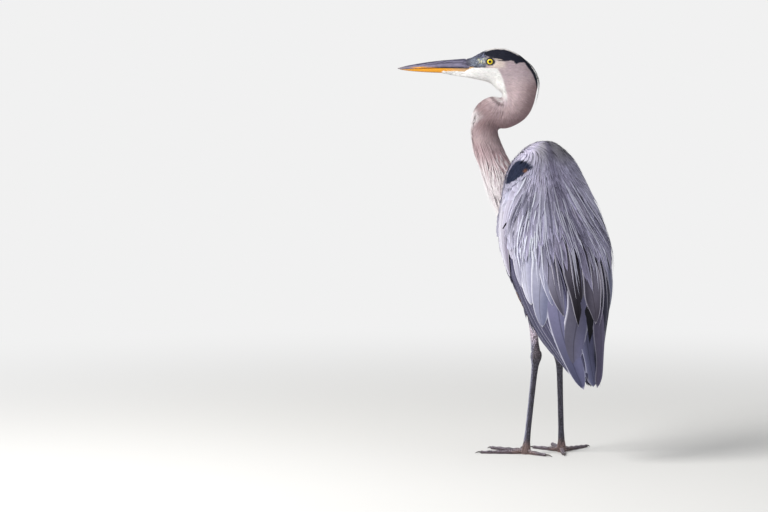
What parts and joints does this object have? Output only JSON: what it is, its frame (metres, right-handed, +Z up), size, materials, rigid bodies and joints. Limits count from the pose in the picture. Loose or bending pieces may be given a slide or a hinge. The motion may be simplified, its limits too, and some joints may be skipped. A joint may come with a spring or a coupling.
{
  "type": "great blue heron",
  "caption": "Life-size great blue heron standing at rest, neck folded in an S and head turned to its left, as a still museum model.",
  "frame": {"origin": "on the floor, under the middle of the bird's bounding box", "axes": "+Z up, -Y the way the trunk faces, +X the bird's left side"},
  "size_m": [0.3444, 0.3992, 0.7661],
  "materials": {
    "plumage_body": "matt blue-grey feathers",
    "plumage_neck": "matt buff-grey feathers, white on the face and black over the eye",
    "plumage_thigh": "matt rusty feathers",
    "bill_upper": "satin horn, slate grey",
    "bill_lower": "satin horn, orange yellow",
    "eye": "wet gloss, yellow iris and black pupil",
    "bare_leg": "satin scaly skin",
    "claw": "satin horn, black"
  },
  "bodies": {
    "root": {"wing_left": "plumage_body", "wing_right": "plumage_body", "trunk": "plumage_body", "tail": "plumage_body", "neck_lower": "plumage_neck", "neck_middle": "plumage_neck", "neck_upper": "plumage_neck", "head": "plumage_neck", "eye_left": "eye", "eye_right": "eye", "bill_upper": "bill_upper", "bill_lower": "bill_lower", "thigh_left": "plumage_thigh", "shank_left": "bare_leg", "tarsus_left": "bare_leg", "toe_left_middle": "bare_leg", "claw_left_middle": "claw", "toe_left_inner": "bare_leg", "claw_left_inner": "claw", "toe_left_outer": "bare_leg", "claw_left_outer": "claw", "toe_left_hind": "bare_leg", "claw_left_hind": "claw", "thigh_right": "plumage_thigh", "shank_right": "bare_leg", "tarsus_right": "bare_leg", "toe_right_middle": "bare_leg", "claw_right_middle": "claw", "toe_right_inner": "bare_leg", "claw_right_inner": "claw", "toe_right_outer": "bare_leg", "claw_right_outer": "claw", "toe_right_hind": "bare_leg", "claw_right_hind": "claw"}
  },
  "joints": []
}
